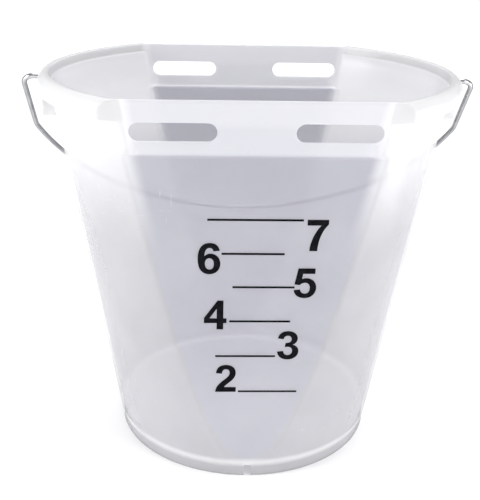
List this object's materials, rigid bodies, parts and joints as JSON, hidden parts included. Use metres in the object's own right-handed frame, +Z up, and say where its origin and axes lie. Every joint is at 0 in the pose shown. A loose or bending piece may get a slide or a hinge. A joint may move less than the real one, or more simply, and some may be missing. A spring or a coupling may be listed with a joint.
{
  "type": "graduated plastic bucket",
  "caption": "Open tapered bucket with two flat sides, grip slots, a rolled rim on its round ends, a printed litre scale and a swinging wire bail.",
  "frame": {"origin": "centre of the base, on the surface that the foot ring stands on", "axes": "+Z up; +X towards one bail pivot, along the rim's long way; -Y towards the flat side that carries the litre scale, +Y towards the flat side that the bail leans on"},
  "size_m": [0.3222, 0.2275, 0.2734],
  "materials": {
    "polypropylene": "natural translucent, satin",
    "steel_wire": "bright zinc-plated drawn wire",
    "ink": "black screen print"
  },
  "bodies": {
    "bucket": {"bucket_body": "polypropylene", "line_2": "ink", "line_3": "ink", "line_4": "ink", "line_5": "ink", "line_6": "ink", "line_7": "ink", "numeral_2": "ink", "numeral_3": "ink", "numeral_4": "ink", "numeral_5": "ink", "numeral_6": "ink", "numeral_7": "ink"},
    "bail": {"bail_handle": "steel_wire"}
  },
  "joints": [
    {"name": "bail_swing", "type": "hinge", "parent": "bucket", "child": "bail", "pos_m": [0, 0, 0.266], "axis": [1, 0, 0], "range_deg": [0, 280]}
  ]
}
